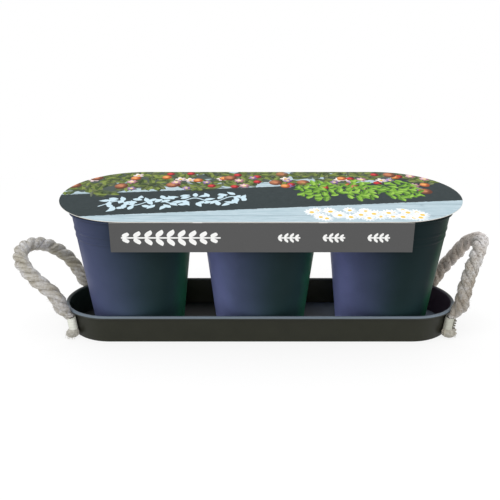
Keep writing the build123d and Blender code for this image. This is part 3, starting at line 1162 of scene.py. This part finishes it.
def painted_boards(place_mm, y):
    """Pale blue boards that run along the card, with dark gaps and worn paint."""
    gap_place = calculate("MODULO", y - boards_start, board_width)
    gap = 1.0 - between(gap_place, 0.6, board_width - 0.1, 0.35)
    inputs = {"Vector": place_mm, "Scale": (0.05, 1.0, 1.0)}
    stretched = add_node(place_mm.id_data, "ShaderNodeMapping", inputs).outputs[0]
    grain = clouds(stretched, 1.1, detail=5.0, roughness=0.65)
    worn = clouds(place_mm, 0.12, detail=5.0, roughness=0.7)
    return lay_tints(
        mix_colours(ramp(grain, 0.35, 0.65), paint(158, 180, 189), paint(184, 200, 208)),
        (ramp(worn, 0.58, 0.75, 0.0, 0.5), (140, 158, 166)),
        (gap * 0.7, (92, 112, 124)),
    )


def slate_band(place_mm, x, y, picture):
    """A dark chalky band along the card that widens at its right end."""
    chalk = clouds(place_mm, 0.25, detail=6.0, roughness=0.75)
    slate = mix_colours(chalk, paint(30, 40, 42), paint(56, 65, 67))
    band_y = straightened(x, y) + (chalk - 0.5) * 4.0
    widening = ramp(x, 112.0, 150.0, slate_top, slate_top_right)
    band = ramp(widening - band_y, -0.4, 0.4) * ramp(band_y, slate_foot - 0.4, slate_foot + 0.4)
    return mix_colours(band, picture, slate)


# %% Draw the vine
vine_ends = (-138.0, -14.0)
vine_blue = paint(190, 212, 222)


def wave_of(amount, turns, start, reach):
    """A wave: how many radians a millimetre, where it starts and how far it swings."""
    return calculate("SINE", amount * turns + start) * reach


def chalk_vine(place_mm, x, y, picture):
    """A pale drawn vine with leaves along the left half of the slate band."""
    off_vine = abs(straightened(x, y) + 8.0 - wave_of(x, 0.19, 0.0, 5.0))
    vine = ramp(off_vine, 1.1, 0.7) * between(x, *vine_ends)
    picture = mix_colours(vine, picture, vine_blue)
    for seed in (2.0, 9.0):
        mask, _, spot_x, spot_y = leaf_layer(place_mm, 10.5, 10.0, 4.6, seed)
        near_vine = between(straightened(spot_x, spot_y), -21.0, 5.0, 0.1)
        near_vine = near_vine * between(spot_x, *vine_ends, 0.1)
        picture = mix_colours(mask * near_vine, picture, vine_blue)
    return picture


# %% Paint the leaves
# Each kind: its cell, length and width in millimetres, a seed, and its dark and pale paints.
leaf_kinds = [
    (10.0, 14.0, 7.6, 3.0, (28, 38, 22), (70, 84, 48)),
    (9.0, 13.0, 6.8, 5.0, (36, 52, 28), (88, 102, 58)),
    (8.0, 12.0, 5.4, 8.0, (44, 58, 30), (116, 124, 80)),
    (10.0, 14.0, 3.0, 12.0, (42, 50, 38), (100, 108, 90)),
    (7.6, 11.0, 5.6, 15.0, (42, 64, 28), (124, 138, 68)),
]


def bunch_edge(x):
    """How far forward the bunches of leaves hang, in waves along the card."""
    return wave_of(x, 0.062, 1.0, 6.0) + wave_of(x, 0.151, 0.4, 4.0)


def leaf_bunches(place_mm, x, y, picture):
    """Bunches of leaves along the back, in front of a dark bed."""
    ragged = (clouds(place_mm, 0.16, detail=4.0) - 0.5) * 16.0
    bed = straightened(x, y) + ragged - (bunch_edge(x) + 19.0)
    gaps = clouds(place_mm, 0.045, detail=1.0)
    bed = ramp(bed, -0.5, 2.0, 0.0, 0.9) * ramp(gaps, 0.60, 0.56)
    picture = mix_colours(bed, picture, paint(40, 48, 32))
    hollow = ramp(clouds(place_mm, 0.13, detail=3.0), 0.5, 0.62, 0.0, 0.34)
    for cell, length, width, seed, dark, pale in leaf_kinds:
        mask, light, spot_x, spot_y = leaf_layer(place_mm, cell, length, width, seed)
        behind = ramp(straightened(spot_x, spot_y) - bunch_edge(spot_x), 18.0, 18.5)
        inputs = {0: spot_x, 1: spot_y, 2: 0.0}
        spot = add_node(place_mm.id_data, "ShaderNodeCombineXYZ", inputs).outputs[0]
        bunch = ramp(clouds(spot, 0.045, detail=1.0), 0.585, 0.575)
        present = ramp(clouds(spot, 0.09, detail=0.0), 0.3, 0.32)
        shape = (mask * behind) * (bunch * present)
        picture = mix_colours(shape, picture, mix_colours(light, paint(*dark), paint(*pale)))
        picture = mix_colours(hollow * shape, picture, paint(30, 42, 24))
    return picture


# %% Paint the tufts
tuft_kinds = [
    (8.0, 15.0, 3.6, 21.0, (40, 74, 22), (98, 142, 48)),
    (7.0, 12.0, 3.4, 27.0, (52, 94, 24), (120, 168, 54)),
    (7.5, 10.0, 4.6, 33.0, (66, 118, 28), (148, 190, 78)),
]
tufts_start, tufts_end = 34.0, 145.0
tuft_width = 37.0


def fresh_tufts(place_mm, picture):
    """Three tall tufts of bright leaves that stand over the slate band on the right."""
    for cell, length, width, seed, dark, pale in tuft_kinds:
        mask, light, spot_x, spot_y = leaf_layer(place_mm, cell, length, width, seed, upright=0.55)
        arch = abs(calculate("SINE", (spot_x - tufts_start) * (math.pi / tuft_width)))
        above_foot = ramp(spot_y - (2.0 - arch * 14.0), -0.5, 0.5)
        below_top = ramp(spot_y - (16.0 + arch * 16.0), 0.5, -0.5)
        region = above_foot * below_top * between(spot_x, tufts_start, tufts_end, 0.1)
        picture = mix_colours(mask * region, picture, mix_colours(light, paint(*dark), paint(*pale)))
    return picture


# %% Paint the blossoms, berries and daisies
# Each kind: its cell and radius in millimetres, a seed, how many petals, its dark, pale and heart
# paints, and the strip across the card in which it lies.
bloom_kinds = [
    (30.0, 5.4, 41.0, 5, (196, 176, 178), (238, 228, 226), (214, 178, 70), 22.0, 50.0),
    (26.0, 4.0, 47.0, 0, (106, 20, 30), (206, 64, 66), (206, 64, 66), 14.0, 50.0),
    (34.0, 4.4, 52.0, 5, (112, 76, 130), (176, 146, 190), (226, 206, 120), 10.0, 40.0),
    (36.0, 4.6, 57.0, 0, (150, 70, 34), (232, 160, 96), (232, 160, 96), 18.0, 46.0),
    (42.0, 6.2, 71.0, 0, (92, 52, 38), (186, 122, 88), (186, 122, 88), 6.0, 48.0),
    (38.0, 5.2, 83.0, 7, (150, 96, 112), (226, 190, 198), (232, 214, 150), 12.0, 48.0),
]
daisy_kinds = [
    (cell, radius, seed, 11, (214, 220, 224), (248, 250, 250), (224, 190, 92), -50.0, -33.0)
    for cell, radius, seed in ((12.5, 6.6, 61.0), (11.0, 6.0, 68.0), (13.0, 6.8, 74.0))
]


def paint_blooms(place_mm, picture, kinds, left, right):
    """Scatters kinds of blooms over a stretch of the card, each kind in its own strip."""
    for cell, radius, seed, petals, dark, pale, middle, low, high in kinds:
        mask, light, spot_x, spot_y, heart = round_layer(place_mm, cell, radius, seed, petals)
        region = between(spot_y, low, high, 0.1) * between(spot_x, left, right, 0.1)
        colour = mix_colours(light, paint(*dark), paint(*pale))
        colour = mix_colours(heart, colour, paint(*middle))
        picture = mix_colours(mask * region, picture, colour)
    return picture


# %% Put the picture together and print the card
def card_picture(place_mm, x, y):
    """The whole picture, in millimetres across the card and from its front fold to its back."""
    picture = slate_band(place_mm, x, y, painted_boards(place_mm, y))
    picture = chalk_vine(place_mm, x, y, picture)
    picture = leaf_bunches(place_mm, x, y, picture)
    picture = paint_blooms(place_mm, picture, bloom_kinds, -172.0, 160.0)
    picture = fresh_tufts(place_mm, picture)
    return paint_blooms(place_mm, picture, daisy_kinds, 38.0, 138.0)


def board_stock(place_mm):
    """The grey-white fibre of the board where it isn't printed."""
    pulp = clouds(place_mm, 0.9, detail=5.0, roughness=0.7)
    return mix_colours(pulp, paint(196, 194, 188), paint(216, 214, 208)), pulp


def card_top_material():
    material, tree, shader = start_material("printed_card")
    place_mm, x, y, _ = place_in_mm(tree)
    picture = card_picture(place_mm, x, y)
    stock, pulp = board_stock(place_mm)
    _, _, up = facing(tree)
    printed = ramp(up, 0.45, 0.55)
    colour = mix_colours(printed, stock, picture)
    give_surface(shader, colour, ramp(printed, 0.0, 1.0, 0.8, 0.5), specular=0.05)
    give_bump(shader, pulp, 0.15, 0.06 * mm)
    return report_finish(material)


finish_nodes(card_top_material(), "card_top")

# %% [markdown]
# ## The flaps
# The front flap is flat grey, with a pale sprig of paired leaves on the left and three small ones
# on the right, plain garden ornaments. The flap behind is the same board, unprinted, and stands on
# the pots' rims to hold the back of the card up.

# %% Paint the flaps
flap_middle = 100.8
stem_half = 0.6
# The leaf pairs too are counted from far on the left, by this many steps.
steps_before = 500
# Each sprig: where its middle is, how tall its leaves are, how far it reaches, how many pairs.
large_sprig = (-73.0, 7.0, 40.0, 9)
small_sprigs = [(middle, 4.2, 9.0, 4) for middle in (22.0, 58.0, 94.0)]


def sprig(x, z, middle, height, reach, count):
    """A row of leaf pairs on a stem that runs across the flap, smaller towards its two ends."""
    along = x - middle
    step = 2 * reach / count
    inside = between(along, -reach, reach, 0.2)
    local = calculate("MODULO", along + (steps_before * step + reach), step) - step / 2
    pair_place = abs((along - local) / reach)
    tall = (1.0 - calculate("POWER", pair_place, 2.0) * 0.45) * height
    off_stem = abs(z)
    stem = ramp(off_stem, stem_half + 0.1, stem_half - 0.1) * inside
    share = off_stem / tall - 0.5
    edge = (0.25 - share * share) * (step * 1.25)
    off_leaf = abs(local - off_stem * 0.62 + height * 0.31)
    leaf = ramp(edge - off_leaf, -0.1, 0.15) * inside
    return calculate("MAXIMUM", stem, leaf)


def ornamented(x, z, pulp):
    """Flat grey print with the large sprig and the small ones."""
    height = z - flap_middle
    shapes = sprig(x, height, *large_sprig)
    for small in small_sprigs:
        shapes = calculate("MAXIMUM", shapes, sprig(x, height, *small))
    grey = mix_colours(pulp, paint(69, 69, 69), paint(75, 75, 75))
    return mix_colours(shapes, grey, paint(222, 222, 220))


def flap_material(name, printed):
    material, tree, shader = start_material(name)
    place_mm, x, _, z = place_in_mm(tree)
    colour, pulp = board_stock(place_mm)
    if printed:
        _, ahead, _ = facing(tree)
        colour = mix_colours(ramp(ahead, -0.45, -0.55), colour, ornamented(x, z, pulp))
    give_surface(shader, colour, roughness=0.5, specular=0.25)
    give_bump(shader, pulp, 0.15, 0.06 * mm)
    return report_finish(material)


finish_nodes(flap_material("front_flap_print", True), "card_front_flap")
finish_nodes(flap_material("plain_board", False), "card_rear_flap")

# %% [markdown]
# ## Floor, light and background
# The set stands on a plain white sheet. A sheet lit like everything else would turn grey in the
# picture, and more light would wash the pots out, so the sheet's brightness is set apart from the
# light on the planter: rays from the camera, and rays that the lacquer reflects, see it nearly
# white, darker only where the planter shades it. Four broad soft lamps light the metal from the
# left, the right, the front and above.

# %% Lay the floor
floor_reach = 3.0


def background_rays(tree):
    """1 for rays that show the background: the camera's, and those off shiny or clear surfaces."""
    rays = add_node(tree, "ShaderNodeLightPath").outputs
    camera_ray, glossy_ray, clear_ray = [
        Amount(rays[f"Is {kind} Ray"]) for kind in ("Camera", "Glossy", "Transmission")
    ]
    return calculate("MAXIMUM", calculate("MAXIMUM", camera_ray, glossy_ray), clear_ray)


def floor_material():
    material, tree, shader = start_material("studio_floor")
    give_surface(shader, paint(252, 252, 252), roughness=0.9, specular=0.0)
    glow = add_node(tree, "ShaderNodeEmission", {"Color": (1.0, 1.0, 1.0, 1.0), "Strength": 1.0})
    place, _, _, _ = object_place(tree)
    length = add_node(tree, "ShaderNodeVectorMath", {0: place}, operation="LENGTH")
    share = background_rays(tree) * ramp(Amount(length.outputs["Value"]), 0.3, 0.9, 0.8, 1.0)
    mixed = add_node(tree, "ShaderNodeMixShader", {0: share, 1: shader.outputs[0], 2: glow.outputs[0]})
    feed(mixed.outputs[0], tree.nodes["Material Output"].inputs[0])
    return report_finish(material)


corners = [(x * floor_reach, y * floor_reach, 0) for x, y in ((-1, -1), (1, -1), (1, 1), (-1, 1))]
floor = new_mesh_piece("studio_floor_sheet", corners, [(0, 1, 2, 3)], floor_material(), smooth=False)
floor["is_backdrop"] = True

# %% Light the set
shade_strength, background_strength = 0.75, 1.0
# Each lamp: its name, place, size in metres and power in watts.
lamps = (
    ("key_lamp", (-0.9, -1.1, 1.3), 1.2, 9.0),
    ("fill_lamp", (1.1, -0.9, 0.9), 1.2, 4.0),
    ("front_lamp", (0.0, -1.6, 0.25), 1.0, 4.0),
    ("top_lamp", (0.0, 0.4, 1.6), 1.4, 9.0),
)
lamp_target = Vector((0, 0, 0.06))

world = bpy.data.worlds.new("studio")
scene.world = world
world.use_nodes = True
sky = world.node_tree
sky_light = sky.nodes["Background"]
feed((1.0, 1.0, 1.0, 1.0), sky_light.inputs["Color"])
strength = ramp(background_rays(sky), 0.0, 1.0, shade_strength, background_strength)
feed(strength, sky_light.inputs["Strength"])


def soft_lamp(name, place, size, power):
    """A square lamp that looks at the middle of the planter."""
    lamp_data = bpy.data.lights.new(name, "AREA")
    lamp_data.shape = "SQUARE"
    lamp_data.size = size
    lamp_data.energy = power
    lamp = bpy.data.objects.new(name, lamp_data)
    lamp.location = place
    aim = lamp_target - Vector(place)
    lamp.rotation_euler = aim.to_track_quat("-Z", "Y").to_euler()
    scene.collection.objects.link(lamp)


for lamp in lamps:
    soft_lamp(*lamp)
print("lamps:", [light.name for light in bpy.data.lights])

# %% [markdown]
# ## Check the size and finish
# The dressed planter has to stay as large as the measured one. Both boxes are measured, and the
# script prints how far the dressed one grew past the measured one on each side.

# %% Compare the boxes and finish
dressed_box = [list(corner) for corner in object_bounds()]
for name, one, other in zip("xyz", zip(*cad_box), zip(*dressed_box)):
    below, above = round((one[0] - other[0]) / mm, 2), round((other[1] - one[1]) / mm, 2)
    print(name, "grew by", below, "and", above, "mm")
